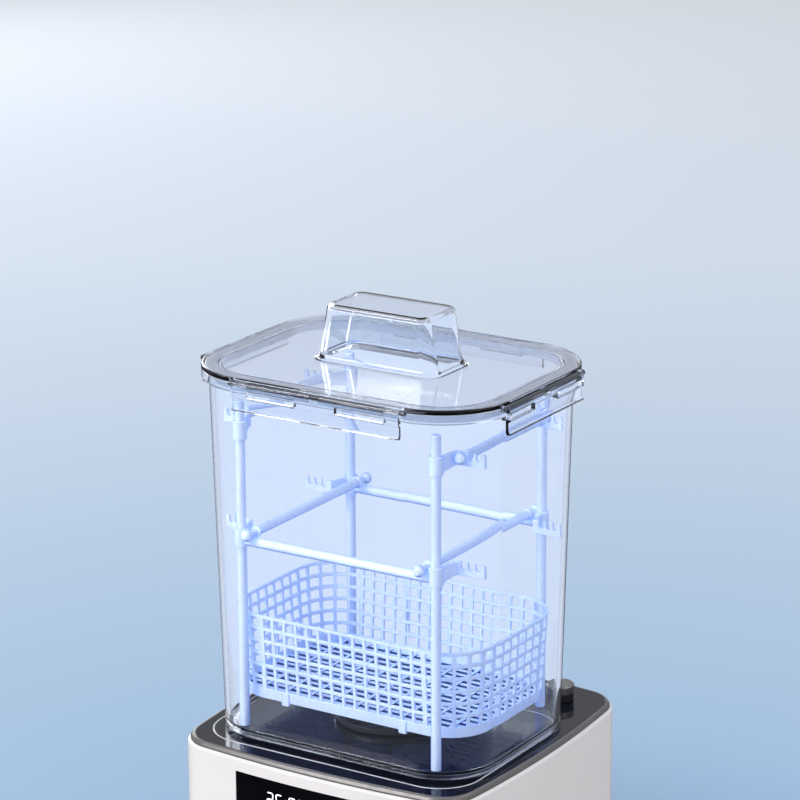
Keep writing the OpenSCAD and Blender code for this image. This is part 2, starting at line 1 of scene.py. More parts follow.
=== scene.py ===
"""The resin wash station's looks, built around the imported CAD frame. Metres, +Z up."""

import json
import math

import bmesh
import bpy
from mathutils import Matrix, Vector


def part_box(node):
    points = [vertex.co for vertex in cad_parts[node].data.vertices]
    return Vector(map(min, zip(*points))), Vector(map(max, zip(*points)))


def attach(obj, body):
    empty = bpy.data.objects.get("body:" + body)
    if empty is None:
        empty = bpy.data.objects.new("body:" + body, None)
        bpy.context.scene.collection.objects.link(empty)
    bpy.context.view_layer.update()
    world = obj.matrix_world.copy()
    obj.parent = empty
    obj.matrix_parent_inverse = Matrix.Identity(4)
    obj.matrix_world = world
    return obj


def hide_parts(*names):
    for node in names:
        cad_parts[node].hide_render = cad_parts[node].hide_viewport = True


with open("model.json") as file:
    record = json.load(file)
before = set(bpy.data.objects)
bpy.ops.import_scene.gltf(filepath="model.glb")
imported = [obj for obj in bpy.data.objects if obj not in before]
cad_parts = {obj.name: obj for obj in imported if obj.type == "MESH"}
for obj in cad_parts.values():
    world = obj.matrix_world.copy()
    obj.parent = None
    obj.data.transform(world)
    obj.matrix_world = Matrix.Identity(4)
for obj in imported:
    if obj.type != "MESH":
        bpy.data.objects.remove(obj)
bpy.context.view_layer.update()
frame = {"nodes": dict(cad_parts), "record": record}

MM = 0.001
nodes = frame["nodes"]
slot_of = {s["node"]: s["material_slot"] for s in frame["record"]["subparts"]}
body_of = {n: b for b, members in frame["record"]["behaviour"]["bodies"].items() for n in members}


# ---------- camera ----------

AZIMUTH = math.radians(32.3)
ELEVATION = math.radians(16.55)
ROLL = math.radians(-0.24)
LENS = 152.8
DISTANCE = 1.864
AIM = Vector((-0.0012, -0.010, 0.2273))
SIDEWAYS = 0.0057
RAISED = 0.0686
FORWARD = Vector((-math.sin(AZIMUTH), math.cos(AZIMUTH), 0))
RIGHT = Vector((math.cos(AZIMUTH), math.sin(AZIMUTH), 0))


def make_camera():
    back = -FORWARD * math.cos(ELEVATION) + Vector((0, 0, math.sin(ELEVATION)))
    up = back.cross(RIGHT)
    data = bpy.data.cameras.new("camera")
    data.lens = LENS
    data.clip_end = 50
    camera = bpy.data.objects.new("camera", data)
    bpy.context.scene.collection.objects.link(camera)
    turn = Matrix((RIGHT, up, back)).transposed() @ Matrix.Rotation(ROLL, 3, "Z")
    at = AIM + back * DISTANCE + RIGHT * SIDEWAYS + up * RAISED
    camera.matrix_world = Matrix.Translation(at) @ turn.to_4x4()
    bpy.context.scene.camera = camera


make_camera()


# ---------- materials ----------

BRUSHED = (1, 1, 30)
GRAIN_DEPTH = 0.0001
WAVE_SCALE = 9
WAVE_STRENGTH = 0.03
WAVE_DEPTH = 0.0004
CLEAR_SHADOW = (0.94, 0.96, 0.99)
# painted shade: the blue that the pale-blue plastic turns along its edges
ICE_EDGE_SHADE = (0.34, 0.49, 0.85)
# painted glow of the pale-blue plastic, which is no lamp
ICE_PAINTED_GLOW = (0.03, 0.16, 0.8)
ICE_PAINTED_GLOW_STRENGTH = 0.22
ICE_SHADOW = (0.62, 0.72, 0.95)


def material(name):
    mat = bpy.data.materials.new(name)
    mat.use_nodes = True
    tree = mat.node_tree
    return mat, tree, tree.nodes["Principled BSDF"]


def speckle(tree, scale, detail=3.0, stretch=(1, 1, 1)):
    """Noise over the object's own coordinates, as a value from about 0.3 to 0.7."""
    place = tree.nodes.new("ShaderNodeTexCoord")
    turn = tree.nodes.new("ShaderNodeMapping")
    turn.inputs["Scale"].default_value = stretch
    noise = tree.nodes.new("ShaderNodeTexNoise")
    noise.inputs["Scale"].default_value = scale
    noise.inputs["Detail"].default_value = detail
    tree.links.new(place.outputs["Object"], turn.inputs["Vector"])
    tree.links.new(turn.outputs["Vector"], noise.inputs["Vector"])
    return noise.outputs["Fac"]


def between(tree, value, low, high, start=0.3, end=0.7):
    """Maps a value that runs from start to end to the range from low to high."""
    node = tree.nodes.new("ShaderNodeMapRange")
    for name, number in (("From Min", start), ("From Max", end), ("To Min", low), ("To Max", high)):
        node.inputs[name].default_value = number
    tree.links.new(value, node.inputs["Value"])
    return node.outputs["Result"]


def blended(tree, factor, one, two):
    """Mixes two colours, each a tuple or another node's output, by a factor from 0 to 1."""
    node = tree.nodes.new("ShaderNodeMix")
    node.data_type = "RGBA"
    for slot, colour in ((6, one), (7, two)):
        if isinstance(colour, tuple):
            node.inputs[slot].default_value = (*colour, 1)
        else:
            tree.links.new(colour, node.inputs[slot])
    tree.links.new(factor, node.inputs[0])
    return node.outputs[2]


def stepped(tree, value, stops):
    """Colour ramp over a value from 0 to 1. Each stop is (position, colour), in order."""
    ramp = tree.nodes.new("ShaderNodeValToRGB")
    elements = ramp.color_ramp.elements
    for element, (position, colour) in zip(elements, (stops[0], stops[-1])):
        element.position = position
        element.color = (*colour, 1)
    for position, colour in stops[1:-1]:
        elements.new(position).color = (*colour, 1)
    tree.links.new(value, ramp.inputs["Fac"])
    return ramp.outputs["Color"]


def bumped(tree, shader, value, strength, depth):
    bump = tree.nodes.new("ShaderNodeBump")
    bump.inputs["Strength"].default_value = strength
    bump.inputs["Distance"].default_value = depth
    tree.links.new(value, bump.inputs["Height"])
    tree.links.new(bump.outputs["Normal"], shader.inputs["Normal"])


def finish(name, one, two, rough, grain=900, bump=0.1, stretch=(1, 1, 1), **sockets):
    """Opaque finish: a slow drift between two colours, a fine grain in the roughness and in the surface."""
    mat, tree, shader = material(name)
    for socket, value in sockets.items():
        shader.inputs[socket.replace("_", " ")].default_value = value
    fine = speckle(tree, grain, stretch=stretch)
    drift = between(tree, speckle(tree, 18), 0, 1)
    tree.links.new(blended(tree, drift, one, two), shader.inputs["Base Color"])
    tree.links.new(between(tree, fine, *rough), shader.inputs["Roughness"])
    bumped(tree, shader, fine, bump, GRAIN_DEPTH)
    return mat


def lets_light_through(tree, shader, tint):
    """Replaces the material's shadow with a plain tint, so that the lamps reach what stands behind it."""
    path = tree.nodes.new("ShaderNodeLightPath")
    through = tree.nodes.new("ShaderNodeBsdfTransparent")
    through.inputs["Color"].default_value = (*tint, 1)
    mix = tree.nodes.new("ShaderNodeMixShader")
    tree.links.new(path.outputs["Is Shadow Ray"], mix.inputs[0])
    tree.links.new(shader.outputs[0], mix.inputs[1])
    tree.links.new(through.outputs[0], mix.inputs[2])
    tree.links.new(mix.outputs[0], tree.nodes["Material Output"].inputs["Surface"])


def clear_plastic(name, one, two, edge, index=1.46, rough=(0.0, 0.03)):
    """Clear moulded plastic with painted shade where it is seen edge on: a little darker there, towards the colour
    edge.
    """
    mat, tree, shader = material(name)
    shader.inputs["Transmission Weight"].default_value = 1.0
    shader.inputs["IOR"].default_value = index
    slow = speckle(tree, 14)
    facing = tree.nodes.new("ShaderNodeLayerWeight")
    facing.inputs["Blend"].default_value = 0.5
    edge_on_shade = between(tree, facing.outputs["Facing"], 0, 1, 0.72, 0.98)
    drift = blended(tree, between(tree, slow, 0, 1), one, two)
    tree.links.new(blended(tree, edge_on_shade, drift, edge), shader.inputs["Base Color"])
    tree.links.new(between(tree, slow, *rough), shader.inputs["Roughness"])
    bumped(tree, shader, speckle(tree, WAVE_SCALE, 1), WAVE_STRENGTH, WAVE_DEPTH)
    lets_light_through(tree, shader, CLEAR_SHADOW)
    return mat


def ice_plastic(name, face, under, lean=(-0.25, -0.75)):
    """Pale-blue plastic with a painted glow, though it is no lamp: paler face on, with painted shade in blue along
    its edges, and painted shade in the colour under, with no glow, where the normal's Z is past the lean. It is
    opaque, but its shadow is only a tint."""
    mat, tree, shader = material(name)
    facing = tree.nodes.new("ShaderNodeLayerWeight")
    facing.inputs["Blend"].default_value = 0.5
    edge_on_shade = between(tree, facing.outputs["Facing"], 0, 1, 0.25, 0.95)
    surface = tree.nodes.new("ShaderNodeNewGeometry")
    split = tree.nodes.new("ShaderNodeSeparateXYZ")
    tree.links.new(surface.outputs["Normal"], split.inputs[0])
    underside_shade = between(tree, split.outputs["Z"], 0, 1, *lean)
    shade = tree.nodes.new("ShaderNodeHueSaturation")
    # painted shade: bluer along the edges, and the colour under on faces that turn downwards
    tree.links.new(blended(tree, underside_shade, blended(tree, edge_on_shade, face, ICE_EDGE_SHADE), under), shade.inputs["Color"])
    tree.links.new(between(tree, speckle(tree, 30), 0.93, 1.0), shade.inputs["Value"])
    tree.links.new(shade.outputs["Color"], shader.inputs["Base Color"])
    # painted glow, left off on faces that turn downwards
    tree.links.new(blended(tree, underside_shade, ICE_PAINTED_GLOW, (0, 0, 0)), shader.inputs["Emission Color"])
    tree.links.new(between(tree, speckle(tree, 400), 0.24, 0.34), shader.inputs["Roughness"])
    shader.inputs["IOR"].default_value = 1.4
    shader.inputs["Emission Strength"].default_value = ICE_PAINTED_GLOW_STRENGTH
    lets_light_through(tree, shader, ICE_SHADOW)
    return mat


MATERIALS = {
    "shell": finish("shell", (0.88, 0.86, 0.86), (0.92, 0.90, 0.90), (0.28, 0.4), bump=0.05,
                    Coat_Weight=0.2, Coat_Roughness=0.12),
    "digits": finish("digits", (0.85, 0.87, 0.9), (0.9, 0.92, 0.95), (0.3, 0.5),
                     Emission_Color=(0.9, 0.95, 1, 1), Emission_Strength=1.2),
    "bottom": finish("bottom", (0.03, 0.03, 0.035), (0.045, 0.045, 0.05), (0.5, 0.7), bump=0.3),
    "feet": finish("feet", (0.02, 0.02, 0.022), (0.03, 0.03, 0.033), (0.7, 0.9), bump=0.3),
    "steel": finish("steel", (0.5, 0.5, 0.51), (0.62, 0.62, 0.63), (0.25, 0.4), Metallic=1.0),
    "deck": finish("deck", (0.004, 0.005, 0.009), (0.007, 0.008, 0.014), (0.05, 0.10), bump=0.02,
                   IOR=1.5),
    "trim": finish("trim", (0.17, 0.16, 0.155), (0.20, 0.19, 0.185), (0.3, 0.4), grain=300,
                   bump=0.01, Metallic=0.4),
    "seat": finish("seat", (0.75, 0.75, 0.76), (0.85, 0.85, 0.86), (0.3, 0.4), bump=0.04,
                   Metallic=0.3),
    "display": finish("display", (0.002, 0.002, 0.003), (0.004, 0.004, 0.005), (0.06, 0.12),
                      bump=0.01, Specular_IOR_Level=0.06),
    "circuit": finish("circuit", (0.01, 0.08, 0.04), (0.02, 0.12, 0.06), (0.3, 0.5)),
    "black": finish("black", (0.008, 0.008, 0.01), (0.016, 0.016, 0.018), (0.3, 0.45), bump=0.15),
    "button": finish("button", (0.6, 0.6, 0.62), (0.68, 0.68, 0.7), (0.3, 0.4), Metallic=0.4),
    "knob_metal": finish("knob_metal", (0.27, 0.266, 0.256), (0.36, 0.353, 0.34), (0.22, 0.36),
                         bump=0.08, stretch=BRUSHED, Metallic=0.9),
    "pin": finish("pin", (0.055, 0.058, 0.075), (0.085, 0.088, 0.11), (0.3, 0.45), bump=0.02,
                  Metallic=0.3),
    "magnet": finish("magnet", (0.6, 0.6, 0.62), (0.7, 0.7, 0.72), (0.12, 0.2), Metallic=1.0),
    # the third colour of each clear plastic is painted shade where it is seen edge on
    "clear": clear_plastic("clear", (0.90, 0.94, 1.0), (0.93, 0.96, 1.0), (0.22, 0.26, 0.46)),
    "clear_wall": clear_plastic("clear_wall", (0.90, 0.94, 1.0), (0.93, 0.96, 1.0),
                                (0.20, 0.24, 0.44), index=1.31),
    "latch": clear_plastic("latch", (0.90, 0.93, 0.99), (0.93, 0.95, 1.0), (0.16, 0.18, 0.30)),
    "gasket": finish("gasket", (0.78, 0.82, 0.90), (0.84, 0.87, 0.94), (0.25, 0.4), bump=0.1,
                     Transmission_Weight=0.75, IOR=1.38),
    # the third colour of each pale-blue plastic is painted shade on faces turned down past the lean: the
    # undersides of the bars and basket, and the sides of the floor's slits
    "ice": ice_plastic("ice", (0.72, 0.78, 0.87), (0.26, 0.40, 0.80)),
    "basket_floor": ice_plastic("basket_floor", (0.68, 0.75, 0.85), (0.05, 0.08, 0.22),
                                lean=(0.8, 0.4)),
    "basket": ice_plastic("basket", (0.68, 0.75, 0.85), (0.02, 0.03, 0.08)),
}


# ---------- making pieces ----------

WELD = 2e-6
FLAT_WITHIN = math.radians(0.8)


def add(name, mesh, body, slot, replaced=(), look=None, smooth_below=40):
    """Adds a mesh as a piece that rides on a body, in a slot, standing for the CAD nodes it replaces."""
    mesh.polygons.foreach_set("use_smooth", [True] * len(mesh.polygons))
    mesh.set_sharp_from_angle(angle=math.radians(smooth_below))
    mesh.materials.clear()
    mesh.materials.append(MATERIALS[look or slot])
    piece = bpy.data.objects.new(name, mesh)
    bpy.context.scene.collection.objects.link(piece)
    weighted = piece.modifiers.new("even_shading", "WEIGHTED_NORMAL")
    weighted.keep_sharp = True
    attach(piece, body)
    if replaced:
        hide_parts(*replaced)
    return piece


def to_mesh(name, bm):
    bmesh.ops.recalc_face_normals(bm, faces=bm.faces)
    mesh = bpy.data.meshes.new(name)
    bm.to_mesh(mesh)
    bm.free()
    return mesh


def round_edges(bm, width, steps=2, sharper_than=35):
    least = math.radians(sharper_than)
    sharp = [e for e in bm.edges if len(e.link_faces) == 2 and e.calc_face_angle() > least]
    bmesh.ops.bevel(bm, geom=sharp, offset=width * MM, segments=steps, profile=0.5, affect="EDGES",
                    clamp_overlap=False)


def refined(node, width, look=None):
    """Stands for a CAD node: its mesh with the facets of its flat faces joined and its edges rounded."""
    bm = bmesh.new()
    bm.from_mesh(nodes[node].data)
    bmesh.ops.remove_doubles(bm, verts=bm.verts, dist=WELD)
    bmesh.ops.dissolve_limit(bm, angle_limit=FLAT_WITHIN, verts=bm.verts, edges=bm.edges)
    round_edges(bm, width)
    return add(node + "_shape", to_mesh(node, bm), body_of[node], slot_of[node], [node], look)


ARC_STEPS = 14


def ring(cx, cy, r, z, clip=None):
    """Rounded rectangle: quarter arcs of radius r about (cx, cy) and its mirror images. All in millimetres.
    clip = (x, y, reach) flattens its left and right sides at x, and its front and rear at y as far as reach."""
    points = []
    for k, (sx, sy) in enumerate(((1, 1), (-1, 1), (-1, -1), (1, -1))):
        for i in range(ARC_STEPS + 1):
            a = math.pi / 2 * (k + i / ARC_STEPS)
            x, y = sx * cx + r * math.cos(a), sy * cy + r * math.sin(a)
            if clip:
                x = max(-clip[0], min(clip[0], x))
                if abs(x) < clip[2]:
                    y = max(-clip[1], min(clip[1], y))
            points.append(Vector((x, y, z)))
    return points


def softened(profile, steps=5, closed=False):
    """Turns (across, up, rounding) corners into a list of (across, up) points with each corner rounded."""
    out = []
    for i, (x, z, r) in enumerate(profile):
        here = Vector((x, z))
        if r == 0 or (not closed and i in (0, len(profile) - 1)):
            out.append(here)
            continue
        before = Vector(profile[i - 1][:2]) - here
        after = Vector(profile[(i + 1) % len(profile)][:2]) - here
        half = before.angle(after) / 2
        reach = r / math.tan(half)
        centre = here + (before.normalized() + after.normalized()).normalized() * (r / math.sin(half))
        start = here + before.normalized() * reach - centre
        end = here + after.normalized() * reach - centre
        turn = start.angle_signed(end)
        for j in range(steps + 1):
            a = -turn * j / steps
            out.append(centre + Vector((start.x * math.cos(a) - start.y * math.sin(a),
                                        start.x * math.sin(a) + start.y * math.cos(a))))
    return out


def skinned(bm, rings, closed=False, at=(0, 0, 0)):
    """Joins rings of points, in millimetres about the point at, into a skin: closed into a loop, or
    capped at both ends."""
    loops = [[bm.verts.new((p + Vector(at)) * MM) for p in points] for points in rings]
    count = len(loops)
    for i in range(count if closed else count - 1):
        one, two = loops[i], loops[(i + 1) % count]
        for j in range(len(one)):
            k = (j + 1) % len(one)
            bm.faces.new((one[j], one[k], two[k], two[j]))
    if not closed:
        bm.faces.new(loops[0])
        bm.faces.new(loops[-1])


def cleaned(bm):
    bmesh.ops.remove_doubles(bm, verts=bm.verts, dist=1e-6)
    bmesh.ops.dissolve_degenerate(bm, edges=bm.edges, dist=1e-7)
    return bm


def block(bm, low, high, at=(0, 0, 0)):
    """Box between two corners, in millimetres about the point at."""
    outline = ((low[0], low[1]), (high[0], low[1]), (high[0], high[1]), (low[0], high[1]))
    skinned(bm, [[Vector((x, y, z)) for x, y in outline] for z in (low[2], high[2])], at=at)


# ---------- base ----------

SIDE_R = 700
BASE_R = 22
BASE_HALF = 96
SIDE_Q = SIDE_R - BASE_HALF
CORNER_C = (math.sqrt(2 * (SIDE_R - BASE_R) ** 2 - SIDE_Q ** 2) - SIDE_Q) / 2
TOUCH = math.asin(CORNER_C / (SIDE_R - BASE_R))
SIDE_STEPS = 28
CORNER_STEPS = 16
SHELL_TOP = 107.6
LIP_PROFILE = ((0.0, SHELL_TOP, 0), (0.0, 107.9, 0.3), (1.45, 109.0, 0.5), (3.2, 109.0, 0.2), (3.2, SHELL_TOP, 0))
TRIM_PROFILE = ((1.5, 108.95, 0), (1.5, 109.8, 0.6), (2.5, 111.6, 1.1), (3.97, 111.98, 0.2), (3.97, 108.95, 0))
SEAT = (59.5, 36.5, 25.0)
SEAT_Y = -20
SEAT_LINE_W = 0.75
SEAT_LINE_Z = (111.55, 112.06)
EDGE_WIDTHS = {"base_bottom": 0.5, "base_feet": 0.5, "power_inlet": 0.5, "button_power": 0.5, "button_mode": 0.5,
               "button_start": 0.5, "knob_cap": 0.35, "knob_skirt": 0.3}


def bowed(inset, z):
    """Outline of the base: four bowed sides and four corner arcs."""
    points = []
    for k in range(4):
        turn = Matrix.Rotation(k * math.pi / 2, 3, "Z")
        for i in range(SIDE_STEPS + 1):
            a = -TOUCH + 2 * TOUCH * i / SIDE_STEPS
            r = SIDE_R - inset
            points.append(turn @ Vector((r * math.cos(a) - SIDE_Q, r * math.sin(a), z)))
        for i in range(1, CORNER_STEPS):
            a = TOUCH + (math.pi / 2 - 2 * TOUCH) * i / CORNER_STEPS
            r = BASE_R - inset
            points.append(turn @ Vector((CORNER_C + r * math.cos(a), CORNER_C + r * math.sin(a), z)))
    return points


def bowed_band(name, profile, slot, replaced=(), look=None):
    """Band that follows the base's outline, from a closed profile of (inset, height, rounding) corners."""
    bm = bmesh.new()
    skinned(bm, [bowed(p.x, p.y) for p in softened(profile, closed=True)], closed=True)
    add(name, to_mesh(name, bm), "base", slot, replaced, look)


SEGMENTS = ((0, 1, 2, 4, 5, 6), (2, 5), (0, 2, 3, 4, 6), (0, 2, 3, 5, 6), (1, 2, 3, 5), (0, 1, 3, 5, 6),
            (0, 1, 3, 4, 5, 6), (0, 2, 5), (0, 1, 2, 3, 4, 5, 6), (0, 1, 2, 3, 5, 6))
DIGIT_W, DIGIT_H, STROKE, DIGIT_PITCH = 3.7, 7.4, 0.62, 6.0
DIGITS_X, DIGITS_TOP = -27.0, -7.5
STROKE_GAP = 0.15
STROKE_PROUD = (-0.05, 0.14)
DISPLAY_INSET = 0.2
DOT_W = 0.9
DOT_HEIGHTS = (0.3, 0.7)
DOT_PITCH = 0.45


def stroke(bm, x, z, dx, dz):
    """One bar of a digit, with pointed ends, lying just proud of the display's bowed face."""
    along = Vector((dx, 0, dz)).normalized()
    across = Vector((-along.z, 0, along.x)) * STROKE / 2
    start = Vector((x, 0, z)) + along * STROKE_GAP
    end = Vector((x + dx, 0, z + dz)) - along * STROKE_GAP
    outline = [start, start + along * STROKE / 2 + across, end - along * STROKE / 2 + across,
               end, end - along * STROKE / 2 - across, start + along * STROKE / 2 - across]
    rings = []
    for proud in STROKE_PROUD:
        r = SIDE_R - DISPLAY_INSET + proud
        rings.append([Vector((p.x, SIDE_Q - math.sqrt(r ** 2 - p.x ** 2), p.z)) for p in outline])
    skinned(bm, rings)


def make_digits(shown="25:00"):
    bm = bmesh.new()
    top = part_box("display_window")[1].z / MM + DIGITS_TOP
    x = DIGITS_X
    for sign in shown:
        if sign == ":":
            for share in DOT_HEIGHTS:
                stroke(bm, x - DOT_W / 2, top - DIGIT_H * share, DOT_W, 0)
            x += DIGIT_PITCH * DOT_PITCH
            continue
        w, h = DIGIT_W, DIGIT_H / 2
        bars = ((0, 0, w, 0), (0, 0, 0, -h), (w, 0, 0, -h), (0, -h, w, 0), (0, -h, 0, -h), (w, -h, 0, -h),
                (0, -2 * h, w, 0))
        for i in SEGMENTS[int(sign)]:
            bx, bz, dx, dz = bars[i]
            stroke(bm, x + bx, top + bz, dx, dz)
        x += DIGIT_PITCH
    add("display_digits", to_mesh("display_digits", bm), "base", "shell", look="digits")


AXIS_R = 0.05
KNOB_MARK = (1.9, 4.7)
KNOB_MARK_R = 0.85
KNOB_MARK_Z = (0.6, 0.02)


def make_knob_mark():
    """Small black dot let into the top of the knob, near its rim."""
    low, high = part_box("knob_cap")
    x = (low.x + high.x) / 2 / MM + KNOB_MARK[0]
    y = (low.y + high.y) / 2 / MM + KNOB_MARK[1]
    bottom, top = (high.z / MM - under for under in KNOB_MARK_Z)
    profile = softened([(AXIS_R, bottom, 0), (KNOB_MARK_R, bottom, 0.1), (KNOB_MARK_R, top, 0.25),
                        (AXIS_R, top, 0)], steps=3)
    bm = bmesh.new()
    skinned(bm, [ring(0, 0, p.x, p.y) for p in profile], at=(x, y, 0))
    add("knob_mark", to_mesh("knob_mark", cleaned(bm)), body_of["knob_cap"], "black")


def make_seat_line():
    """Thin pale line let into the deck around the place where the bucket stands."""
    cx, cy, r = SEAT
    low, high = SEAT_LINE_Z
    profile = softened([(r, low, 0), (r, high, 0.15), (r - SEAT_LINE_W, high, 0.15), (r - SEAT_LINE_W, low, 0)],
                       steps=3, closed=True)
    bm = bmesh.new()
    skinned(bm, [ring(cx, cy, p.x, p.y) for p in profile], closed=True, at=(0, SEAT_Y, 0))
    add("seat_line", to_mesh("seat_line", cleaned(bm)), "base", "trim", look="seat")


def make_base():
    bowed_band("shell_lip", LIP_PROFILE, "shell")
    bowed_band("trim_band", TRIM_PROFILE, "trim", ["trim_ring"])
    refined("base_shell", 0.25)
    refined("deck", 0.3)
    refined("display_window", 0.2)
    make_seat_line()
    make_digits()
    for node, width in EDGE_WIDTHS.items():
        refined(node, width)
    make_knob_mark()


# ---------- bucket ----------

BUCKET_AT = (0, -10, 115.7)
BUCKET_C = (51.6, 30.5)
BUCKET_R = (33.5, 39.1)
BUCKET_Z = (-3.5, 201.5)
BUCKET_WALL = 2.5
DISH = ((10, -1.8, 0), (27.5, -1.8, 0.8))
LUG_Z = (195.2, 197.6)
LUG_ROOT_Z = 196
LUG_SUNK = 0.4
LUG_SHORT = 0.2
LUGS_X = (28, 13)
LUGS_Y = (25, 10)


def wall_r(z):
    """Outer corner radius of the bucket at a height above its floor."""
    return BUCKET_R[0] + (BUCKET_R[1] - BUCKET_R[0]) * (z - BUCKET_Z[0]) / (BUCKET_Z[1] - BUCKET_Z[0])


def add_rim_lugs(bm):
    """Two lugs under each latch: (middle, half length) along the rim, from inside the wall to just short of the
    lid's outline."""
    root = wall_r(LUG_ROOT_Z) - LUG_SUNK
    ends_x = (LID_C[0] + LID_R - LUG_SHORT, BUCKET_C[0] + root)
    ends_y = (LID_C[1] + LID_R - LUG_SHORT, BUCKET_C[1] + root)
    low, high = LUG_Z
    for s in (-1, 1):
        for side in (-1, 1):
            middle, half = s * LUGS_X[0], LUGS_X[1]
            y = [side * end for end in ends_y]
            block(bm, (middle - half, min(y), low), (middle + half, max(y), high), at=BUCKET_AT)
            middle, half = s * LUGS_Y[0], LUGS_Y[1]
            x = [side * end for end in ends_x]
            block(bm, (min(x), middle - half, low), (max(x), middle + half, high), at=BUCKET_AT)


def make_bucket():
    low, high = BUCKET_Z
    profile = softened([
        *DISH, (DISH[1][0], low, 0.8), (wall_r(low), low, 2.2), (wall_r(high), high, 0.9),
        (wall_r(high) - BUCKET_WALL, high, 0.9), (wall_r(0) - BUCKET_WALL, 0, 1.6), (DISH[0][0], 0, 0),
    ])
    bm = bmesh.new()
    skinned(bm, [ring(*BUCKET_C, p.x, p.y) for p in profile], at=BUCKET_AT)
    add_rim_lugs(bm)
    add("bucket_shell", to_mesh("bucket_shell", cleaned(bm)), "bucket", "clear", ["bucket"],
        look="clear_wall")
    refined("impeller", 0.5)


# ---------- lid ----------

LID_C = (51.75, 30.65)
LID_R = 42.9
LID_TOP = 206.0
PLATE_T = 3.0
SKIRT_Z = 198.0
SKIRT_WALL = 2.2
PLUG_R = 33.75
PLUG_WALL = 2.0
RECESS = 0.95
RECESS_REACH = 56.5
GRIP_H = 31.0
LATCHES = {0: ("y", 105.0, 43.0), 180: ("y", 105.0, 43.0), 90: ("x", 78.0, 37.0), 270: ("x", 78.0, 37.0)}
HINGE_Z = LID_TOP - 2.7
HINGE_OUT = 0.75
PIN_R = 0.8
PIN_THICK_R = 1.3
PIN_STEPS = 16
KNUCKLE_R = 1.5
KNUCKLE_ROOT = 1.9
KNUCKLE_EDGE = 0.3
KNUCKLE_STEPS = 10
MIDDLE_KNUCKLE = 2.5
EAR = (0.4, 2.9)
GASKET_LOW = 197.5
GASKET_LIP = 2.1
GASKET_STEP = 201.9


def grip_ring(inset, z, foot, top):
    """Outline of the grip at a height: it leans in along its length from its foot to its top."""
    t = (z - foot) / (top - foot)
    return ring(30 - 4 * t, 10.5 + t, 8 - 2 * t - inset, z)


def hinge_place(turn, axis):
    """Frame of a latch's hinge, in millimetres: its axis along X, and -Y pointing away from the lid."""
    reach = (LID_C[1] if axis == "y" else LID_C[0]) + LID_R + HINGE_OUT
    return Matrix.Translation(Vector(BUCKET_AT)) @ Matrix.Rotation(math.radians(turn), 4, "Z") \
        @ Matrix.Translation((0, -reach, HINGE_Z))


def make_hinge_pins():
    """Dark pins: thick between the middle knuckle and the slots' outer ends, thin out to the ears."""
    bm = bmesh.new()
    for turn, (axis, length, slot_end) in LATCHES.items():
        place = hinge_place(turn, axis)
        for side in (-1, 1):
            profile = ((-2.4, PIN_R), (2.7, PIN_R), (2.8, PIN_THICK_R), (slot_end, PIN_THICK_R),
                       (slot_end + 0.1, PIN_R), (length / 2 + 2.6, PIN_R))
            angles = [math.tau * i / PIN_STEPS for i in range(PIN_STEPS)]
            skinned(bm, [[(place @ Vector((side * x, r * math.cos(a), r * math.sin(a)))).to_3d()
                          for a in angles] for x, r in profile])
    add("hinge_pins", to_mesh("hinge_pins", bm), "lid", "steel", ["latch_pins"], look="pin")


def make_lid_shell():
    """One skin from the grip's top over the plate, round the skirt and the plug, and back up inside the grip."""
    clip = (LID_C[0] + LID_R - RECESS, LID_C[1] + LID_R - RECESS, RECESS_REACH)
    foot, top = LID_TOP, LID_TOP + GRIP_H
    plate, skirt, plug = LID_TOP - PLATE_T, LID_R - SKIRT_WALL, PLUG_R - PLUG_WALL
    outside = softened([(5.0, top, 0), (0.0, top, 2.4), (0.0, foot, 3.6), (-5.0, foot, 0)], steps=7)
    edge = softened([(LID_R - 4, LID_TOP, 0), (LID_R, LID_TOP, 1.3), (LID_R, SKIRT_Z, 0.5),
                     (skirt, SKIRT_Z, 0.5), (skirt, plate, 0.6), (PLUG_R, plate, 0.6), (PLUG_R, SKIRT_Z, 0.6),
                     (plug, SKIRT_Z, 0.6), (plug, plate, 0.8), (20, plate, 0)])
    inside = softened([(-4.0, plate, 0), (2.0, plate, 2.0), (2.0, top - 2, 1.8), (5.5, top - 2, 0)],
                      steps=6)
    rings = [grip_ring(p.x, p.y, foot, top) for p in outside]
    rings += [ring(*LID_C, p.x, p.y, clip) for p in edge]
    rings += [grip_ring(p.x, p.y, foot, top) for p in inside]
    bm = bmesh.new()
    skinned(bm, rings, at=BUCKET_AT)
    add("lid_shell", to_mesh("lid_shell", cleaned(bm)), "lid", "clear", ["lid"])


def knuckle_ring(place, x, grow):
    """Half-round outline of a knuckle, grown by an amount, across its hinge's axis at x."""
    r = KNUCKLE_R + grow
    angles = [math.pi / 2 + math.pi * i / KNUCKLE_STEPS for i in range(KNUCKLE_STEPS + 1)]
    outline = [(math.cos(a) * r, math.sin(a) * r) for a in angles]
    outline += [(KNUCKLE_ROOT, -KNUCKLE_R - grow), (KNUCKLE_ROOT, KNUCKLE_R + grow)]
    return [(place @ Vector((x, y, z, 1))).to_3d() for y, z in outline]


def make_knuckles():
    bm = bmesh.new()
    for turn, (axis, length, _) in LATCHES.items():
        place = hinge_place(turn, axis)
        near, far = length / 2 + EAR[0], length / 2 + EAR[1]
        for start, end in ((-MIDDLE_KNUCKLE, MIDDLE_KNUCKLE), (near, far), (-far, -near)):
            skinned(bm, [knuckle_ring(place, x, grow) for x, grow in (
                (start, -KNUCKLE_EDGE), (start + KNUCKLE_EDGE, 0), (end - KNUCKLE_EDGE, 0), (end, -KNUCKLE_EDGE))])
    add("lid_knuckles", to_mesh("lid_knuckles", cleaned(bm)), "lid", "latch")


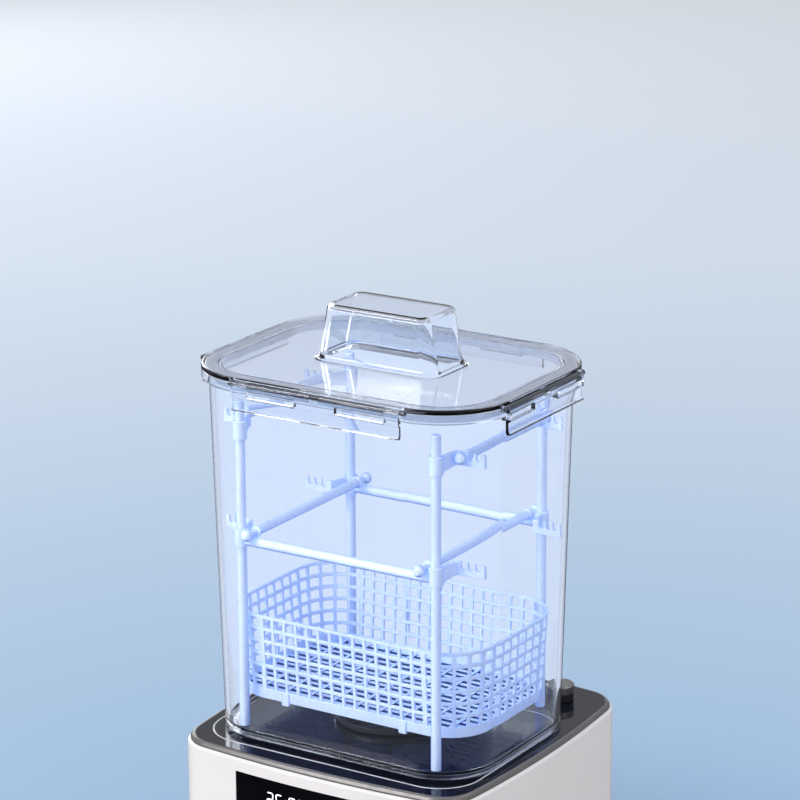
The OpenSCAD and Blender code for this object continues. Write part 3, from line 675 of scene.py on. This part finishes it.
def make_gasket():
    inner, high = PLUG_R + 0.03, LID_TOP - PLATE_T - 0.03
    outer = LID_R - SKIRT_WALL - 0.3
    profile = softened([(inner, GASKET_LOW, 0.3), (inner + GASKET_LIP, GASKET_LOW, 0.9),
                        (inner + GASKET_LIP, GASKET_STEP, 0.5), (outer, GASKET_STEP, 0.3),
                        (outer, high, 0.2), (inner, high, 0.2)], closed=True, steps=3)
    bm = bmesh.new()
    skinned(bm, [ring(*LID_C, p.x, p.y) for p in profile], closed=True, at=BUCKET_AT)
    add("gasket_ring", to_mesh("gasket_ring", cleaned(bm)), "lid", "gasket", ["lid_gasket"])


def make_lid():
    make_lid_shell()
    make_knuckles()
    make_gasket()
    for side in ("front", "rear", "left", "right"):
        refined("latch_" + side, 0.15)
    make_hinge_pins()


# ---------- rack ----------

POST_R = 2.75
POST_AXIS_R = 0.3


def make_rack():
    for node, body in body_of.items():
        if node.startswith("post_"):
            low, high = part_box(node)
            cx, cy = (low.x + high.x) / 2 / MM, (low.y + high.y) / 2 / MM
            z0, z1 = low.z / MM, high.z / MM
            profile = softened([(POST_AXIS_R, z0, 0), (POST_R, z0, 0.5), (POST_R, z1, 0.9),
                                (POST_AXIS_R, z1, 0)], steps=4)
            bm = bmesh.new()
            skinned(bm, [ring(0, 0, p.x, p.y) for p in profile], at=(cx, cy, 0))
            add(node + "_rod", to_mesh(node, cleaned(bm)), body, "ice", [node])
        elif node.startswith(("crossbar_", "rod_")):
            refined(node, 0.4)
        elif node.startswith("bracket_"):
            refined(node, 0.3)


# ---------- basket ----------

BASKET_C = (52.0, 24.0)
BASKET_R = (25.0, 28.0)
BASKET_Z = (16.0, 65.5)
BASKET_WALL = 1.6
RIM_H = 1.9
ROWS = 6
ROW_PITCH = 7.25
BAR = 2.0
RIB = 3.0
FLOOR_PITCH = 6.0
FLOOR_BAR = 3.0
CORNER_CELLS = 5
CORNER_MEAN_R = 26.5
SIDE_CELL = 7.6
CROSS_BARS = 9
CROSS_PITCH = 15.0
LUG_X = 38


def basket_columns():
    """Stations round the basket: (point on the corner-centre rectangle, direction outwards, whether a hole
    reaches from it to the next)."""
    cx, cy = BASKET_C
    stations = []
    for k, (sx, sy) in enumerate(((1, 1), (-1, 1), (-1, -1), (1, -1))):
        corner = Vector((sx * cx, sy * cy))
        cells = CORNER_CELLS
        rib = math.degrees(RIB / 2 / CORNER_MEAN_R)
        bar = math.degrees(BAR / 2 / CORNER_MEAN_R)
        step = 90 / cells
        for i in range(cells):
            start = i * step + (rib if i == 0 else bar)
            end = (i + 1) * step - (rib if i == cells - 1 else bar)
            for a, hole in ((start, True), ((start + end) / 2, True), (end, False)):
                a = math.radians(90 * k + a)
                stations.append((corner, Vector((math.cos(a), math.sin(a))), hole))
        nxt = Vector(((-1, -1, 1, 1)[k] * cx, (1, -1, -1, 1)[k] * cy))
        length = (nxt - corner).length
        along = (nxt - corner) / length
        out = Vector((along.y, -along.x))
        cells = round(length / SIDE_CELL)
        step = length / cells
        for i in range(cells):
            start = i * step + (RIB if i == 0 else BAR) / 2
            end = (i + 1) * step - (RIB if i == cells - 1 else BAR) / 2
            stations += [(corner + along * start, out, True), (corner + along * end, out, False)]
    return stations


def make_basket_mesh():
    low, high = BASKET_Z
    bottom = high - RIM_H - ROWS * ROW_PITCH + BAR
    holes = [(bottom + k * ROW_PITCH, bottom + (k + 1) * ROW_PITCH - BAR) for k in range(ROWS)]
    heights = [low, *(z for hole in holes for z in hole), high]
    stations = basket_columns()
    count, rows = len(stations), len(heights) - 1
    bm = bmesh.new()
    skins = []
    for inward in (0, BASKET_WALL):
        skin = []
        for z in heights:
            r = BASKET_R[0] + (BASKET_R[1] - BASKET_R[0]) * (z - low) / (high - low) - inward
            skin.append([bm.verts.new(Vector((p.x + d.x * r, p.y + d.y * r, z)) * MM) for p, d, _ in stations])
        skins.append(skin)

    def solid(i, j):
        return 0 <= i < rows and not (i % 2 == 1 and stations[j % count][2])

    for i in range(rows):
        for j in range(count):
            if not solid(i, j):
                continue
            k = (j + 1) % count
            for skin, flip in ((skins[0], False), (skins[1], True)):
                quad = (skin[i][j], skin[i][k], skin[i + 1][k], skin[i + 1][j])
                bm.faces.new(quad[::-1] if flip else quad)
            for (di, dj), (a, b) in (((-1, 0), ((i, j), (i, k))), ((1, 0), ((i + 1, j), (i + 1, k))),
                                     ((0, -1), ((i, j), (i + 1, j))), ((0, 1), ((i, k), (i + 1, k)))):
                if not solid(i + di, j + dj):
                    bm.faces.new((skins[0][a[0]][a[1]], skins[0][b[0]][b[1]], skins[1][b[0]][b[1]],
                                  skins[1][a[0]][a[1]]))
    bmesh.ops.recalc_face_normals(bm, faces=bm.faces)
    round_edges(bm, 0.35, sharper_than=50)
    bmesh.ops.translate(bm, verts=bm.verts, vec=Vector(BUCKET_AT) * MM)
    add("basket_mesh", to_mesh("basket_mesh", bm), "basket", "basket", ["basket"])


def floor_reach(r, centre, aside):
    """How far the basket's rounded inside reaches along one axis, from a corner centre, at a distance aside
    past the other axis's corner centre."""
    return centre + math.sqrt(max(0, r ** 2 - max(0, aside) ** 2)) - 0.4


def make_basket_floor():
    low = BASKET_Z[0]
    inner = BASKET_R[0] - BASKET_WALL + 0.6
    reach = BASKET_C[1] + inner
    floor = bmesh.new()
    for i in range(int(2 * reach / FLOOR_PITCH)):
        y = -reach + FLOOR_PITCH * (i + 0.7)
        x = floor_reach(inner, BASKET_C[0], abs(y) + FLOOR_BAR / 2 - BASKET_C[1])
        block(floor, (-x, y - FLOOR_BAR / 2, low + 0.1), (x, y + FLOOR_BAR / 2, low + 1.9))
    for i in range(CROSS_BARS):
        x = (i - CROSS_BARS // 2) * CROSS_PITCH
        y = floor_reach(inner, BASKET_C[1], abs(x) + 1 - BASKET_C[0])
        block(floor, (x - 1.1, -y, low + 0.4), (x + 1.1, y, low + 2.4))
    round_edges(floor, 0.3, steps=1)
    cleaned(floor)
    bmesh.ops.translate(floor, verts=floor.verts, vec=Vector(BUCKET_AT) * MM)
    add("basket_floor", to_mesh("basket_floor", floor), "basket", "basket", look="basket_floor")


def make_basket_lugs():
    low = BASKET_Z[0]
    profile = softened([(0.3, low - 1.6, 0), (1.0, low - 1.6, 0.5), (1.0, low + 6, 0.4), (0.3, low + 6, 0)], 3)
    lugs = bmesh.new()
    for x in (-LUG_X, LUG_X):
        for side in (-1, 1):
            at = Vector(BUCKET_AT) + Vector((x, side * (BASKET_C[1] + BASKET_R[0] + 0.1), 0))
            skinned(lugs, [ring(1.6, 0.01, p.x, p.y) for p in profile], at=at)
    add("basket_lugs", to_mesh("basket_lugs", cleaned(lugs)), "basket", "basket")


def make_basket():
    make_basket_lugs()
    make_basket_mesh()
    make_basket_floor()


make_base()
make_bucket()
make_lid()
make_rack()
make_basket()

for name, obj in nodes.items():
    obj.data.materials.clear()
    obj.data.materials.append(MATERIALS[slot_of[name]])


# ---------- stage ----------

FLOOR_R = 12.0
FAR = 3.2
FLOOR_COLOURS = ((0.0, (0.30, 0.45, 0.66)), (0.10, (0.39, 0.55, 0.74)), (0.32, (0.59, 0.70, 0.83)),
                 (0.48, (0.69, 0.78, 0.88)), (0.94, (0.81, 0.85, 0.91)))
FLOOR_GLOW = 0.47
# the floor's colours for reflections and for the view through the clear walls are painted light; the grey for
# diffuse rays is fill light
PAINTED_RAY_COLOURS = (("Is Glossy Ray", (0.10, 0.11, 0.14)), ("Is Transmission Ray", (0.80, 0.87, 1.0)),
               ("Is Diffuse Ray", (0.66, 0.64, 0.66)))


def make_floor():
    mesh = bpy.data.meshes.new("floor")
    bm = bmesh.new()
    bmesh.ops.create_circle(bm, cap_ends=True, radius=FLOOR_R, segments=96)
    bm.to_mesh(mesh)
    bm.free()
    floor = bpy.data.objects.new("floor", mesh)
    bpy.context.scene.collection.objects.link(floor)
    mat, tree, shader = material("floor")
    place = tree.nodes.new("ShaderNodeTexCoord")
    length = tree.nodes.new("ShaderNodeVectorMath")
    length.operation = "LENGTH"
    tree.links.new(place.outputs["Object"], length.inputs[0])
    colour = stepped(tree, between(tree, length.outputs["Value"], 0, 1, 0, FAR), FLOOR_COLOURS)
    half = tree.nodes.new("ShaderNodeVectorMath")
    half.operation = "SCALE"
    half.inputs["Scale"].default_value = 0.5
    tree.links.new(colour, half.inputs[0])
    tree.links.new(half.outputs[0], shader.inputs["Base Color"])
    tree.links.new(colour, shader.inputs["Emission Color"])
    shader.inputs["Emission Strength"].default_value = FLOOR_GLOW
    shader.inputs["Roughness"].default_value = 0.9
    shader.inputs["Specular IOR Level"].default_value = 0.1
    # painted light: the floor is painted brighter where it is seen through the clear walls, a neutral grey as fill
    # light, and painted dark in what shines, as a painted dark reflection
    path = tree.nodes.new("ShaderNodeLightPath")
    surface = shader.outputs[0]
    for ray, colour in PAINTED_RAY_COLOURS:
        glow = tree.nodes.new("ShaderNodeEmission")
        glow.inputs["Color"].default_value = (*colour, 1)
        mix = tree.nodes.new("ShaderNodeMixShader")
        tree.links.new(path.outputs[ray], mix.inputs[0])
        tree.links.new(surface, mix.inputs[1])
        tree.links.new(glow.outputs[0], mix.inputs[2])
        surface = mix.outputs[0]
    tree.links.new(surface, tree.nodes["Material Output"].inputs["Surface"])
    mesh.materials.append(mat)


def area(name, size, at, look, power, colour=(1, 1, 1)):
    data = bpy.data.lights.new(name, "AREA")
    data.shape = "RECTANGLE"
    data.size, data.size_y = size
    data.energy = power
    data.color = colour
    lamp = bpy.data.objects.new(name, data)
    bpy.context.scene.collection.objects.link(lamp)
    lamp.location = at
    lamp.rotation_euler = (Vector(look) - Vector(at)).to_track_quat("-Z", "Y").to_euler()


def make_light():
    world = bpy.data.worlds.new("world")
    bpy.context.scene.world = world
    world.use_nodes = True
    sky = world.node_tree.nodes["Background"]
    sky.inputs["Color"].default_value = (0.94, 0.95, 1.0, 1)
    sky.inputs["Strength"].default_value = 0.5
    middle = (0, 0, 0.2)
    area("key", (1.2, 1.2), (-1.0, -1.9, 1.7), middle, 44)
    area("right_fill", (1.4, 1.4), (2.4, -0.8, 1.2), middle, 4.5, (1, 0.98, 0.97))
    area("top", (1.2, 1.2), (1.1, 0.8, 1.9), middle, 11)
    area("left_rear", (1.6, 1.0), (-2.4, 1.6, 0.9), middle, 20, (0.96, 0.98, 1.0))


make_floor()
make_light()

cycles = bpy.context.scene.cycles
cycles.max_bounces = 20
cycles.transmission_bounces = 20
cycles.transparent_max_bounces = 24
cycles.caustics_reflective = False
bpy.context.scene.view_settings.view_transform = "Standard"
